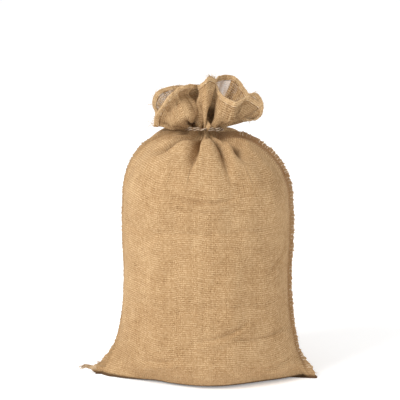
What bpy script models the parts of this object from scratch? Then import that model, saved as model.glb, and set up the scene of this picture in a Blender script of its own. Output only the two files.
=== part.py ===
"""A filled hessian sack that stands on its foot, its neck gathered and tied with twine.

Metres, +Z up. X runs along the flat width of the sack, -Y is its front. The origin is on the floor, midway between
the tips of the two bottom corners.
"""

import math

import bmesh
import bpy
import numpy as np

# Driving dimensions. The empty sack is 500 mm wide and 800 mm long.
TIE_HEIGHT = 0.542
NECK_HALF_WIDTH = 0.0365
NECK_HALF_DEPTH = 0.0265
NECK_FLAT_HALF_HEIGHT = 0.0048
NECK_GROOVE_HALF_HEIGHT = 0.009
NECK_SWELL = 0.0035
SHOULDER_START = 0.395
SHOULDER_END = TIE_HEIGHT - NECK_GROOVE_HALF_HEIGHT
SHOULDER_SIDE_POWER = 2.05
SHOULDER_DEPTH_POWER = 2.4
BACK_PUFF = 0.018
NECK_SHIFT = -0.004
SEAM_THICKNESS = 0.0030
NECK_SEAM_EDGE = 0.0004
LEFT_SEAM_TURN = math.radians(62)
RIGHT_SEAM_TURN = math.radians(8)
CLOTH_THICKNESS = 0.0022
HEM_THICKNESS = 0.0032
TWINE_DIAMETER = 0.0030
TWINE_PITCH = 0.0036
TWINE_CLEARANCE = 0.0008
TWINE_STEPS = 48
TWINE_CROSSING = math.radians(26)
TWINE_LIFT = TWINE_DIAMETER + 0.0006
KNOT_HALF_SIZE = (0.0065, 0.0030, 0.0046)
HESSIAN_COLOUR = (0.55, 0.37, 0.21)
TWINE_COLOUR = (0.45, 0.34, 0.24)

CORNER_TAIL = 0.028
BODY_SHIFT = 0.013

FRONT_COLUMNS = 48
BACK_COLUMNS = 32

# The filled body from the floor to the shoulder: height, half width and half depth of the filling, how pointed the
# section is at its two seams (1 an ellipse, 2 a lens), how far the empty seam edge stands out beyond it, how much of
# its backward turn that edge has taken, and the share of the twisted tail on the left corner.
BODY_SECTIONS = (
    # height, half_width, half_depth, lens, seam_edge, seam_turned, tail
    (0.000, 0.226, 0.096, 1.70, 0.014, 0.00, 0.00),
    (0.005, 0.224, 0.107, 1.64, 0.016, 0.00, 0.15),
    (0.010, 0.221, 0.112, 1.60, 0.017, 0.00, 1.00),
    (0.016, 0.217, 0.116, 1.55, 0.017, 0.00, 0.80),
    (0.022, 0.213, 0.119, 1.50, 0.015, 0.00, 0.10),
    (0.030, 0.209, 0.1225, 1.45, 0.012, 0.05, 0.00),
    (0.046, 0.2005, 0.1275, 1.35, 0.009, 0.20, 0.00),
    (0.066, 0.193, 0.131, 1.26, 0.008, 0.50, 0.00),
    (0.090, 0.188, 0.133, 1.18, 0.008, 1.00, 0.00),
    (0.125, 0.181, 0.134, 1.12, 0.009, 1.00, 0.00),
    (0.175, 0.1755, 0.134, 1.08, 0.010, 1.00, 0.00),
    (0.230, 0.1745, 0.133, 1.05, 0.009, 1.00, 0.00),
    (0.300, 0.1765, 0.133, 1.05, 0.010, 1.00, 0.00),
    (0.350, 0.177, 0.133, 1.05, 0.010, 1.00, 0.00),
    (SHOULDER_START, 0.175, 0.132, 1.05, 0.010, 1.00, 0.00),
)
SHOULDER_RISES = (0.16, 0.31, 0.45, 0.575, 0.68, 0.77, 0.845, 0.905, 0.95, 0.985)

# Grooves between the pleats that run down from the tie. Bearings go anticlockwise from +X as seen from the front
# (0 the right seam, 90 the front, 180 the left seam, negative the back), and reach is a share of the shoulder.
PLEAT_GROOVES = (
    # bearing_at_neck, bearing_at_end, reach, depth, half_width
    (97, 104, 0.95, 0.0120, 0.0075),
    (68, 73, 1.00, 0.0130, 0.0080),
    (45, 54, 0.80, 0.0100, 0.0070),
    (128, 150, 0.70, 0.0090, 0.0070),
    (24, 30, 0.55, 0.0060, 0.0070),
    (-35, -42, 0.60, 0.0060, 0.0080),
    (-72, -66, 0.80, 0.0080, 0.0085),
    (-105, -112, 0.75, 0.0080, 0.0085),
    (-140, -146, 0.60, 0.0060, 0.0080),
)

# The open mouth above the tie, a row for each fold line of its rim, from the left seam along the front to the right
# seam and back along the rear: the rim's place, measured from the middle of the tie, and how far the cloth bellies
# out and up between the neck and the rim.
FRONT_RIM = (
    # x, y, z, belly, lift
    (-0.104, 0.004, -0.002, 0.004, 0.008),
    (-0.098, -0.022, 0.031, 0.010, 0.000),
    (-0.079, -0.040, 0.071, 0.022, -0.004),
    (-0.056, -0.050, 0.098, 0.026, -0.008),
    (-0.030, -0.030, 0.102, 0.006, -0.004),
    (-0.013, -0.008, 0.092, -0.008, 0.000),
    (-0.002, -0.028, 0.106, 0.000, 0.000),
    (0.008, -0.038, 0.117, 0.002, 0.000),
    (0.018, -0.028, 0.117, 0.000, 0.000),
    (0.021, -0.004, 0.104, -0.012, 0.000),
    (0.030, -0.026, 0.084, 0.004, -0.004),
    (0.045, -0.042, 0.073, 0.014, -0.008),
    (0.066, -0.046, 0.064, 0.014, -0.006),
    (0.082, -0.036, 0.071, 0.010, -0.006),
    (0.095, -0.030, 0.0735, 0.006, -0.004),
    (0.119, -0.020, 0.054, 0.004, 0.000),
    (0.100, -0.013, 0.033, 0.002, 0.000),
    (0.088, -0.001, 0.018, 0.002, 0.002),
)
BACK_RIM = (
    # x, y, z, belly, lift
    (0.103, 0.009, 0.010, 0.002, 0.002),
    (0.119, 0.013, 0.018, 0.002, 0.000),
    (0.127, 0.016, 0.042, 0.002, 0.000),
    (0.120, 0.018, 0.068, 0.004, 0.000),
    (0.098, 0.014, 0.074, 0.000, 0.000),
    (0.084, 0.028, 0.086, 0.006, 0.000),
    (0.064, 0.046, 0.104, 0.010, 0.000),
    (0.040, 0.052, 0.106, 0.010, 0.000),
    (0.022, 0.034, 0.092, -0.006, 0.000),
    (0.002, 0.046, 0.084, 0.008, 0.000),
    (-0.018, 0.024, 0.078, -0.008, 0.000),
    (-0.044, 0.044, 0.082, 0.010, 0.000),
    (-0.070, 0.034, 0.083, 0.004, 0.000),
    (-0.101, 0.030, 0.080, 0.004, 0.000),
    (-0.114, 0.028, 0.058, 0.004, 0.000),
    (-0.108, 0.022, 0.030, 0.004, 0.000),
)
MOUTH_ROWS = (0.10, 0.22, 0.35, 0.48, 0.61, 0.74, 0.86, 1.0)
HEM_START = 0.9
HOLLOW_START = 0.22


def smooth(x):
    """0 up to 0, 1 from 1 on, an S curve between."""
    x = min(max(x, 0.0), 1.0)
    return x * x * (3 - 2 * x)


def shoulder_section(rise):
    """One section of the shoulder, a rounded dome from the body's top section in to the neck."""
    _, body_width, body_depth, body_lens, seam_edge, _, _ = BODY_SECTIONS[-1]
    side = (1 - rise**SHOULDER_SIDE_POWER) ** (1 / SHOULDER_SIDE_POWER)
    deep = (1 - rise**SHOULDER_DEPTH_POWER) ** (1 / SHOULDER_DEPTH_POWER)
    neck_width = NECK_HALF_WIDTH + NECK_SWELL
    neck_depth = NECK_HALF_DEPTH + NECK_SWELL
    return {
        "height": SHOULDER_START + (SHOULDER_END - SHOULDER_START) * rise,
        "half_width": neck_width + (body_width - neck_width) * side,
        "half_depth": neck_depth + (body_depth - neck_depth) * deep,
        "lens": 1 + (body_lens - 1) * side,
        "seam_edge": 0.002 + (seam_edge - 0.002) * smooth(side / 0.35),
        "seam_turned": smooth((side - 0.4) / 0.6),
        "tail": 0.0,
        "gather": 1 - side,
        "slope": math.asin(rise**2),
    }


def neck_section(above_tie):
    """A section of the neck, which the twine pulls in to a groove."""
    flat = NECK_FLAT_HALF_HEIGHT
    swell = NECK_SWELL * smooth((abs(above_tie) - flat) / (NECK_GROOVE_HALF_HEIGHT - flat))
    return {
        "height": TIE_HEIGHT + above_tie,
        "half_width": NECK_HALF_WIDTH + swell,
        "half_depth": NECK_HALF_DEPTH + swell,
        "lens": 1.0,
        "seam_edge": NECK_SEAM_EDGE,
        "seam_turned": 0.0,
        "tail": 0.0,
        "gather": 1.0,
        "slope": math.radians(90),
    }


def body_sections():
    names = ("height", "half_width", "half_depth", "lens", "seam_edge", "seam_turned", "tail")
    body = [dict(zip(names, row), gather=0.0, slope=0.0) for row in BODY_SECTIONS]
    shoulder = [shoulder_section(rise) for rise in SHOULDER_RISES]
    levels = (-NECK_GROOVE_HALF_HEIGHT, -0.0068, -NECK_FLAT_HALF_HEIGHT)
    neck = [neck_section(level) for level in levels + tuple(-level for level in levels[::-1])]
    return body + shoulder + neck


def groove_depth(bearing, section):
    """How far the pleats' grooves press in the shoulder at this bearing."""
    total = 0.0
    for at_neck, at_end, reach, depth, half_width in PLEAT_GROOVES:
        along = (1 - section["gather"]) / reach
        if section["gather"] in (0.0, 1.0) or along >= 1:
            continue
        centre = at_neck + (at_end - at_neck) * along
        radius = 0.5 * (section["half_width"] + section["half_depth"])
        away = radius * math.radians(bearing - centre) / half_width
        fade = smooth((1 - along) / 0.5) * smooth(section["gather"] / 0.2)
        room = smooth(radius / 0.075)
        total += depth * fade * room * math.exp(-away * away)
    return total


def section_point(section, bearing):
    turn = math.radians(bearing)
    side = -1 if bearing > 0 else 1
    across = math.cos(turn)
    deep = abs(math.sin(turn)) ** section["lens"]
    half_seam = 0.5 * SEAM_THICKNESS
    pressed = groove_depth(bearing, section)
    inward = pressed * math.cos(section["slope"])
    gather = section["gather"]
    puff = BACK_PUFF * 4 * gather * (1 - gather) * (deep if side > 0 else 0) * (1 - 0.3 * across)
    x = (section["half_width"] - inward) * across + NECK_SHIFT * gather
    y = side * (half_seam + (section["half_depth"] - inward - half_seam) * deep)
    return (x, y, section["height"] + puff - pressed * math.sin(section["slope"]))


def seam_points(section, side, most_turn):
    """The two outer points of a seam's empty edge: side is 1 at the right, -1 at the left."""
    turn = most_turn * section["seam_turned"]
    reach = section["seam_edge"]
    level = reach * math.cos(section["slope"])
    x = side * (section["half_width"] + level * math.cos(turn)) + NECK_SHIFT * section["gather"]
    if side < 0:
        x -= CORNER_TAIL * section["tail"]
    y = level * math.sin(turn)
    z = section["height"] + reach * math.sin(section["slope"])
    half = 0.5 * SEAM_THICKNESS
    along = half * math.sin(turn) * side
    front = (x + along, y - half * math.cos(turn), z)
    back = (x - along, y + half * math.cos(turn), z)
    return front, back


def section_ring(section):
    """The closed ring of points of one section, from the left seam along the front and back along the rear."""
    front = [
        section_point(section, 180 * (1 - k / FRONT_COLUMNS)) for k in range(FRONT_COLUMNS)
    ]
    front.append(section_point(section, 1e-6))
    rear = [section_point(section, -180 * k / BACK_COLUMNS) for k in range(BACK_COLUMNS + 1)]
    right_front, right_back = seam_points(section, 1, RIGHT_SEAM_TURN)
    left_front, left_back = seam_points(section, -1, LEFT_SEAM_TURN)
    return front + [right_front, right_back] + rear + [left_back, left_front]


def closed_curve(points, per_step=12):
    """A smooth closed curve through the points (Catmull-Rom), as a dense list."""
    points = np.asarray(points, float)
    dense = []
    for i in range(len(points)):
        a, b, c, d = (points[(i + k) % len(points)] for k in (-1, 0, 1, 2))
        for step in range(per_step):
            t = step / per_step
            dense.append(
                0.5
                * (2 * b + (c - a) * t + (2 * a - 5 * b + 4 * c - d) * t**2 + (3 * b - a - 3 * c + d) * t**3)
            )
    return np.array(dense)


def spread_along(curve, count):
    """count + 1 points of an open stretch of curve, evenly spaced along it."""
    lengths = np.linalg.norm(np.diff(curve[:, :3], axis=0), axis=1)
    travelled = np.concatenate([[0], np.cumsum(lengths)])
    wanted = np.linspace(0, travelled[-1], count + 1)
    return np.column_stack([np.interp(wanted, travelled, column) for column in curve.T])


def rim_ring():
    """The rim's points and bellies, one for each column of the ring of a section."""
    per_step = 12
    whole = closed_curve(FRONT_RIM + BACK_RIM, per_step)
    seam = (len(FRONT_RIM) - 1) * per_step
    whole = np.vstack([whole, whole[:1]])
    trim = 3
    front = spread_along(whole[trim : seam - trim + 1], FRONT_COLUMNS)
    rear = spread_along(whole[seam + trim : len(whole) - trim], BACK_COLUMNS)
    right = spread_along(whole[seam - trim : seam + trim + 1], 3)[1:3]
    left = spread_along(np.vstack([whole[-trim - 1 : -1], whole[: trim + 1]]), 3)[1:3]
    return np.vstack([front, right, rear, left])


def mouth_rings(neck):
    """The outer rings of the open mouth: each column runs from the neck to the rim in one bend."""
    rim = rim_ring()
    rim_points = rim[:, :3] + (NECK_SHIFT, 0, TIE_HEIGHT)
    outward = rim_points - (NECK_SHIFT, 0, 0)
    outward[:, 2] = 0
    outward /= np.linalg.norm(outward, axis=1)[:, None]
    bend = 0.5 * (neck + rim_points) + outward * rim[:, 3:4]
    bend[:, 2] += rim[:, 4]
    rings = []
    for v in MOUTH_ROWS:
        rings.append((1 - v) ** 2 * neck + 2 * v * (1 - v) * bend + v**2 * rim_points)
    return rings


def inner_rings(outer):
    """The mouth's inner side: the outer rings moved in by the cloth's thickness, from the rim down."""
    grid = np.array(outer)
    around = np.roll(grid, -1, axis=1) - np.roll(grid, 1, axis=1)
    up = np.gradient(grid, axis=0)
    normal = np.cross(around, up)
    normal /= np.linalg.norm(normal, axis=2)[:, :, None]
    rings = []
    for ring, facing, v in zip(grid[::-1], normal[::-1], MOUTH_ROWS[::-1]):
        if v < HOLLOW_START:
            break
        thickness = HEM_THICKNESS if v >= HEM_START else CLOTH_THICKNESS
        rings.append(ring - facing * thickness)
    return rings


def loft(rings):
    """A closed mesh through the rings, all of one length, with a flat face at the foot and a fan at the end."""
    shape = bmesh.new()
    shift = np.array((BODY_SHIFT, 0, 0))
    rows = [[shape.verts.new(point + shift) for point in ring] for ring in rings]
    shape.faces.new(rows[0])
    for lower, upper in zip(rows, rows[1:]):
        for k in range(len(lower)):
            after = (k + 1) % len(lower)
            shape.faces.new((lower[k], lower[after], upper[after], upper[k]))
    end = np.mean([vert.co for vert in rows[-1]], axis=0)
    middle = shape.verts.new(end)
    for k, vert in enumerate(rows[-1]):
        shape.faces.new((vert, rows[-1][(k + 1) % len(rows[-1])], middle))
    bmesh.ops.recalc_face_normals(shape, faces=shape.faces)
    return shape


def cloth_material(name, colour, roughness):
    material = bpy.data.materials.new(name)
    material.use_nodes = True
    shader = material.node_tree.nodes["Principled BSDF"]
    shader.inputs["Base Color"].default_value = (*colour, 1.0)
    shader.inputs["Roughness"].default_value = roughness
    shader.inputs["Metallic"].default_value = 0.0
    return material


def add_object(collection, name, data, material):
    thing = bpy.data.objects.new(name, data)
    data.materials.append(material)
    collection.objects.link(thing)
    return thing


def build_sack(collection):
    body = [np.array(section_ring(section)) for section in body_sections()]
    outer = mouth_rings(body[-1])
    rings = body + outer + inner_rings(outer)
    shape = loft(rings)
    mesh = bpy.data.meshes.new("sack")
    shape.to_mesh(mesh)
    shape.free()
    mesh.shade_smooth()
    return add_object(collection, "sack", mesh, cloth_material("hessian", HESSIAN_COLOUR, 0.95))


def twine_route():
    """Two turns round the neck, side by side and closed, which cross once at the front."""
    route = []
    for k in range(2 * TWINE_STEPS):
        lap, step = divmod(k + TWINE_STEPS // 2, TWINE_STEPS)
        from_front = 2 * math.pi * (step / TWINE_STEPS - 0.5)
        passed = smooth(0.5 + 0.5 * from_front / TWINE_CROSSING)
        level = passed if lap % 2 else 1 - passed
        over = TWINE_LIFT * math.exp(-((1.6 * from_front / TWINE_CROSSING) ** 2)) if lap % 2 else 0.0
        radius = TWINE_CLEARANCE + 0.5 * TWINE_DIAMETER + over
        bearing = from_front - 0.5 * math.pi
        x = BODY_SHIFT + NECK_SHIFT + (NECK_HALF_WIDTH + radius) * math.cos(bearing)
        y = (NECK_HALF_DEPTH + radius) * math.sin(bearing)
        route.append((x, y, TIE_HEIGHT + TWINE_PITCH * (level - 0.5)))
    return route


def twine_mesh(collection):
    """The twine's tube as a mesh, drawn as a closed curve with a round bevel."""
    curve = bpy.data.curves.new("twine", "CURVE")
    curve.dimensions = "3D"
    curve.bevel_depth = 0.5 * TWINE_DIAMETER
    curve.bevel_resolution = 2
    route = twine_route()
    spline = curve.splines.new("POLY")
    spline.points.add(len(route) - 1)
    for point, place in zip(spline.points, route):
        point.co = (*place, 1.0)
    spline.use_cyclic_u = True
    drawn = bpy.data.objects.new("twine_curve", curve)
    collection.objects.link(drawn)
    depsgraph = bpy.context.evaluated_depsgraph_get()
    mesh = bpy.data.meshes.new_from_object(drawn.evaluated_get(depsgraph))
    bpy.data.objects.remove(drawn)
    return mesh


def build_knot(collection):
    """The flat knot behind the neck, a guide that the twine is joined to."""
    shape = bmesh.new()
    bmesh.ops.create_uvsphere(shape, u_segments=14, v_segments=9, radius=1.0)
    bmesh.ops.scale(shape, vec=KNOT_HALF_SIZE, verts=shape.verts)
    mesh = bpy.data.meshes.new("knot")
    shape.to_mesh(mesh)
    shape.free()
    knot = bpy.data.objects.new("knot", mesh)
    depth = NECK_HALF_DEPTH + TWINE_CLEARANCE + KNOT_HALF_SIZE[1]
    knot.location = (BODY_SHIFT + NECK_SHIFT, depth, TIE_HEIGHT)
    knot.hide_render = True
    knot.display_type = "WIRE"
    collection.objects.link(knot)
    return knot


def build_tie(collection, guides):
    material = cloth_material("twine", TWINE_COLOUR, 0.9)
    tie = add_object(collection, "tie", twine_mesh(collection), material)
    joined = tie.modifiers.new("knot", "BOOLEAN")
    joined.operation = "UNION"
    joined.object = build_knot(guides)
    return tie


def new_collection(name):
    collection = bpy.data.collections.new(name)
    bpy.context.scene.collection.children.link(collection)
    return collection


def main():
    for thing in list(bpy.data.objects):
        bpy.data.objects.remove(thing)
    collection = new_collection("hessian_sack")
    guides = new_collection("guides")
    build_sack(collection)
    build_tie(collection, guides)


main()
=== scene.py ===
# %% [markdown]
# # A filled hessian sack, tied at the neck
# A hessian sack is a loose jute weave, folded at the foot, sewn down both sides and hemmed round the mouth. Filled
# with loose goods it stands on a broad foot, leans its seams outwards and is choked with twine near the top.
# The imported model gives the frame: where the floor, the neck and the mouth are. Everything below is built round it.

import math

import bmesh
import bpy
import numpy as np
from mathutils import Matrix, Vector, noise


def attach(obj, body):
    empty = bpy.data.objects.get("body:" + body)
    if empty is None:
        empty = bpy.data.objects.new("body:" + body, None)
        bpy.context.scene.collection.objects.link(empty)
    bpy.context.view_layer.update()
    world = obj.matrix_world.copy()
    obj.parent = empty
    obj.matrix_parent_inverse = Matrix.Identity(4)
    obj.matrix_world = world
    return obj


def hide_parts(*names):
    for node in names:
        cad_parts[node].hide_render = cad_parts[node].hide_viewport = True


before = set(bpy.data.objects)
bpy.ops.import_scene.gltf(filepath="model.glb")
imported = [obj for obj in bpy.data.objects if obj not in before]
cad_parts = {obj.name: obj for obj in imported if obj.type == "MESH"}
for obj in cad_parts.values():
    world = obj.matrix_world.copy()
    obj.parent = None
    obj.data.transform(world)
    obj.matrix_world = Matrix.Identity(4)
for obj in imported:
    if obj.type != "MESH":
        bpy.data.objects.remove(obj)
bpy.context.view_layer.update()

# %% [markdown]
# ## The sack's measures
# The empty sack is 500 mm wide and 800 mm long. Each row of the table is one level of the filled body: how wide and
# deep the filling makes it, how pointed it is at the side seams, and how far the flat seam edge stands out. From 66 mm
# up the rows are those of the plain solid. Below that the section is more pointed and the seam edge is wider, because
# loose cloth lies flatter by the floor than a plain solid does.

# %% Sizes of the body and the neck, in metres
TIE_HEIGHT, NECK_TILT = 0.542, 0.15
NECK_HALF_WIDTH, NECK_HALF_DEPTH = 0.0365, 0.0265
NECK_FLAT, NECK_GROOVE, NECK_SWELL = 0.0048, 0.009, 0.0035
SHOULDER_START = 0.395
SHOULDER_END = TIE_HEIGHT - NECK_GROOVE
BACK_PUFF = 0.018
NECK_SHIFT, BODY_SHIFT = -0.004, 0.013
SEAM_THICKNESS = 0.0030
LEFT_SEAM_TURN, RIGHT_SEAM_TURN = math.radians(62), math.radians(8)
TWINE_DIAMETER, TWINE_PITCH, TWINE_CLEARANCE = 0.0040, 0.0042, 0.0004
NECK_SEAM_EDGE, SHOULDER_SEAM_EDGE = 0.0004, 0.002
TAIL_REACH = 0.028

BODY_LEVELS = np.array([
    # height, half_width, half_depth, lens, seam_edge, seam_turned, tail
    (0.000, 0.226, 0.096, 1.85, 0.014, 0.00, 0.00),
    (0.005, 0.224, 0.107, 1.82, 0.016, 0.00, 0.10),
    (0.010, 0.221, 0.112, 1.80, 0.017, 0.00, 0.45),
    (0.016, 0.217, 0.116, 1.75, 0.019, 0.00, 0.35),
    (0.022, 0.213, 0.119, 1.68, 0.018, 0.00, 0.05),
    (0.030, 0.209, 0.1225, 1.55, 0.016, 0.05, 0.00),
    (0.046, 0.2005, 0.1275, 1.38, 0.012, 0.20, 0.00),
    (0.066, 0.193, 0.131, 1.26, 0.008, 0.50, 0.00),
    (0.090, 0.188, 0.133, 1.18, 0.008, 1.00, 0.00),
    (0.125, 0.181, 0.134, 1.12, 0.009, 1.00, 0.00),
    (0.175, 0.1755, 0.134, 1.08, 0.010, 1.00, 0.00),
    (0.230, 0.1745, 0.133, 1.05, 0.009, 1.00, 0.00),
    (0.300, 0.1765, 0.133, 1.05, 0.010, 1.00, 0.00),
    (0.350, 0.177, 0.133, 1.05, 0.010, 1.00, 0.00),
    (SHOULDER_START, 0.175, 0.132, 1.05, 0.010, 1.00, 0.00),
])
LEVEL_NAMES = ("height", "half_width", "half_depth", "lens", "seam_edge", "seam_turned", "tail")


def smooth(x):
    """0 up to 0, 1 from 1 on, an S curve between."""
    x = np.clip(x, 0.0, 1.0)
    return x * x * (3 - 2 * x)


def between(x, low, high, edge, margin=0.0):
    """1 between low and high and 0 outside, with soft edges this wide that begin a margin outside."""
    return smooth((x - low + margin) / edge) * smooth((high - x + margin) / edge)


def bell(x, width):
    """1 at 0, falling away on both sides over about this width."""
    return np.exp(-((x / width) ** 2))


def way_along(points, axis=0):
    """How far each point is from the first, measured along its line."""
    travelled = np.cumsum(np.linalg.norm(np.diff(points, axis=axis), axis=-1), axis=axis)
    return np.insert(travelled, 0, 0.0, axis=axis)


def gentle(x, xs, ys):
    """A smooth curve through the table that never overshoots it (monotone cubic)."""
    step, rise = np.diff(xs), np.diff(ys)
    slope = rise / step
    tangent = np.zeros(len(xs))
    for k in range(1, len(xs) - 1):
        if slope[k - 1] * slope[k] > 0:
            a, b = 2 * step[k] + step[k - 1], step[k] + 2 * step[k - 1]
            tangent[k] = (a + b) / (a / slope[k - 1] + b / slope[k])
    tangent[0], tangent[-1] = slope[0], slope[-1]
    k = int(np.clip(np.searchsorted(xs, x) - 1, 0, len(step) - 1))
    t = (x - xs[k]) / step[k]
    return ((2 * t**3 - 3 * t**2 + 1) * ys[k] + (t**3 - 2 * t**2 + t) * step[k] * tangent[k]
            + (3 * t**2 - 2 * t**3) * ys[k + 1] + (t**3 - t**2) * step[k] * tangent[k + 1])


# %% [markdown]
# ## Levels from the floor to the tie
# Up to the shoulder the levels come from the table. The shoulder is a dome that closes in to the neck; a power above
# 2 makes it squarer than a ball, and this sack is fuller on its left than on its right. At the neck the twine
# presses a groove in the cloth. The tie sits a little higher in front than behind, so the levels near it tilt.

# %% Every level, closely spaced
SIDE_POWER, DEPTH_POWER = 2.05, 2.4
LEFT_FULLNESS, RIGHT_FULLNESS = 0.00, -0.12
SEAM_ENDS_OVER, SEAM_TURNS_FROM, SEAM_TURNS_OVER = 0.35, 0.4, 0.6
LEAN_CHANGES_FROM, LEAN_CHANGES_OVER, LEAN_ENDS_OVER = 0.955, 0.045, 0.0042
FOOT_HEIGHTS = [0.0, 0.0015, 0.0035, 0.006, 0.0085, 0.0115, 0.015, 0.019, 0.0235]
BODY_ROWS, SHOULDER_ROWS, NECK_ROWS = 100, 72, 7


def dome(rise, power):
    return (1 - rise**power) ** (1 / power)


def body_level(height):
    level = {name: gentle(height, BODY_LEVELS[:, 0], BODY_LEVELS[:, k]) for k, name in enumerate(LEVEL_NAMES)}
    return dict(level, gather=0.0, slope=0.0, rise=0.0, lean=0.0)


def shoulder_level(rise):
    top = body_level(SHOULDER_START)
    side, deep = dome(rise, SIDE_POWER), dome(rise, DEPTH_POWER)
    neck_depth = NECK_HALF_DEPTH + NECK_SWELL
    slope = math.asin(rise**2)
    return {
        "height": SHOULDER_START + (SHOULDER_END - SHOULDER_START) * rise,
        "half_width": top["half_width"],
        "half_depth": neck_depth + (top["half_depth"] - neck_depth) * deep,
        "lens": 1 + (top["lens"] - 1) * side,
        "seam_edge": (SHOULDER_SEAM_EDGE
                      + (top["seam_edge"] - SHOULDER_SEAM_EDGE) * float(smooth(side / SEAM_ENDS_OVER))),
        "seam_turned": float(smooth((side - SEAM_TURNS_FROM) / SEAM_TURNS_OVER)),
        "tail": 0.0, "gather": 1 - side, "slope": slope, "rise": rise,
        "lean": slope + (math.pi / 4 - slope) * float(smooth((rise - LEAN_CHANGES_FROM) / LEAN_CHANGES_OVER)),
    }


def neck_level(above_tie):
    swell = NECK_SWELL * float(smooth((abs(above_tie) - NECK_FLAT) / (NECK_GROOVE - NECK_FLAT)))
    return {
        "height": TIE_HEIGHT + above_tie, "half_width": NECK_HALF_WIDTH + swell,
        "half_depth": NECK_HALF_DEPTH + swell, "lens": 1.0, "seam_edge": NECK_SEAM_EDGE, "seam_turned": 0.0,
        "tail": 0.0, "gather": 1.0, "slope": math.pi / 2, "rise": 1.0,
        "lean": math.pi / 4 * (1 - float(smooth((above_tie + NECK_GROOVE) / LEAN_ENDS_OVER))),
    }


body_heights = FOOT_HEIGHTS + list(np.linspace(0.0275, SHOULDER_START, BODY_ROWS))
shoulder_rises = np.sin(np.linspace(0, math.pi / 2, SHOULDER_ROWS + 2)[1:-1])
neck_heights = np.linspace(-NECK_GROOVE, 0.0, NECK_ROWS)
levels = ([body_level(h) for h in body_heights] + [shoulder_level(r) for r in shoulder_rises]
          + [neck_level(h) for h in neck_heights])
print("levels", len(levels), "from", levels[0]["height"], "to", round(levels[-1]["height"], 4))

# %% [markdown]
# ## Pleats
# Where the neck is choked, a metre of cloth has to fit round a neck of 0.2 m, so it folds. The big folds run down
# over the shoulder and die out; between them the cloth stays smooth. Each groove is given by the bearing where it
# starts at the neck, the bearing where it ends, how far down it reaches, its depth and how wide it is to each side.
# Bearings go from 0 at the right seam over 90 at the front to 180 at the left seam, and negative behind.

# %% The grooves between the pleats
GROOVES = (
    # bearing_at_neck, bearing_at_end, reach, depth, half_width towards 0, half_width towards 180
    (94, 100, 0.98, 0.0300, 0.0040, 0.0125),
    (62, 70, 1.08, 0.0270, 0.0075, 0.0100),
    (26, 53, 0.80, 0.0380, 0.0150, 0.0105),
    (122, 141, 0.72, 0.0340, 0.0080, 0.0125),
    (140, 172, 0.54, 0.0200, 0.0055, 0.0075),
    (6, 28, 0.55, 0.0140, 0.0050, 0.0060),
    (78, 86, 0.36, 0.0080, 0.0040, 0.0040),
    (108, 120, 0.42, 0.0100, 0.0040, 0.0045),
    (42, 60, 0.45, 0.0130, 0.0045, 0.0045),
    (-20, -26, 0.50, 0.0090, 0.0060, 0.0060),
    (-42, -48, 0.80, 0.0150, 0.0050, 0.0080),
    (-72, -68, 0.95, 0.0180, 0.0070, 0.0050),
    (-90, -92, 0.45, 0.0070, 0.0050, 0.0050),
    (-106, -112, 0.90, 0.0190, 0.0050, 0.0080),
    (-134, -142, 0.75, 0.0140, 0.0070, 0.0050),
    (-157, -160, 0.50, 0.0080, 0.0060, 0.0060),
)
GROOVE_SHARPNESS, GROOVE_FADES_OVER, GROOVE_STARTS_OVER = 1.4, 0.55, 0.2
SMALL_FOLD_DEPTH, EASED_AT_TIE, MOUTH_FOLD_DEPTH = 0.0050, 0.0022, 0.0022
# where the deep ones break the run of the cloth: bearing_at_neck, bearing_at_end, reach
PLEAT_EDGES = ((94, 100, 0.98), (62, 70, 1.08), (24, 52, 0.72), (122, 143, 0.62),
               (-42, -48, 0.80), (-72, -68, 0.95), (-106, -112, 0.90), (-134, -142, 0.75))


def groove_depth(bearing, level, radius):
    """How far the pleats' grooves press in at these bearings, in metres."""
    total = np.zeros_like(bearing)
    gather = level["gather"]
    if gather <= 0:
        return total
    for at_neck, at_end, reach, depth, right_width, left_width in GROOVES:
        along = (1 - gather) / reach
        if along >= 1:
            continue
        centre = at_neck + (at_end - at_neck) * along
        away = radius * np.radians(bearing - centre)
        away = np.where(away < 0, away / right_width, away / left_width)
        fade = float(smooth((1 - along) / GROOVE_FADES_OVER)) * float(smooth(gather / GROOVE_STARTS_OVER))
        room = 0.45 + 0.55 * float(smooth((radius - 0.030) / 0.030))
        total += depth * fade * room * np.exp(-np.abs(away) ** GROOVE_SHARPNESS)
    return total


def neck_folds(bearing):
    """0 on a crest and 1 in a valley of the small folds that the twine pinches, as a function of bearing."""
    turn = np.radians(bearing)
    wave = np.sin(11 * turn + 1.1) + 0.7 * np.sin(17 * turn + 0.4 + 0.8 * np.sin(3 * turn))
    return 0.5 + 0.5 * wave / 1.7


# %% [markdown]
# ## The filled body as one grid
# A sack is a tube, so its cloth is a grid that is wrapped round: one column for each bearing, one row for each
# level. `bmesh.ops.create_grid` makes the flat net, and every vertex is then moved to its place, as cloth is laid
# round a form. The two side seams get columns of their own, out along the flat edge and back.

# %% Columns of the grid
front_bearings = np.linspace(180, 0, 205)
rear_bearings = np.linspace(0, -180, 125)
edge_steps = np.array([0.16, 0.34, 0.52, 0.70, 0.86, 0.96, 1.0])
EDGE = len(edge_steps)
FRONT, REAR = len(front_bearings), len(rear_bearings)
right_edge = slice(FRONT, FRONT + 2 * EDGE)
rear_part = slice(FRONT + 2 * EDGE, FRONT + 2 * EDGE + REAR)
left_edge = slice(FRONT + 2 * EDGE + REAR, FRONT + 4 * EDGE + REAR)
columns = FRONT + REAR + 4 * EDGE

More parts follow.
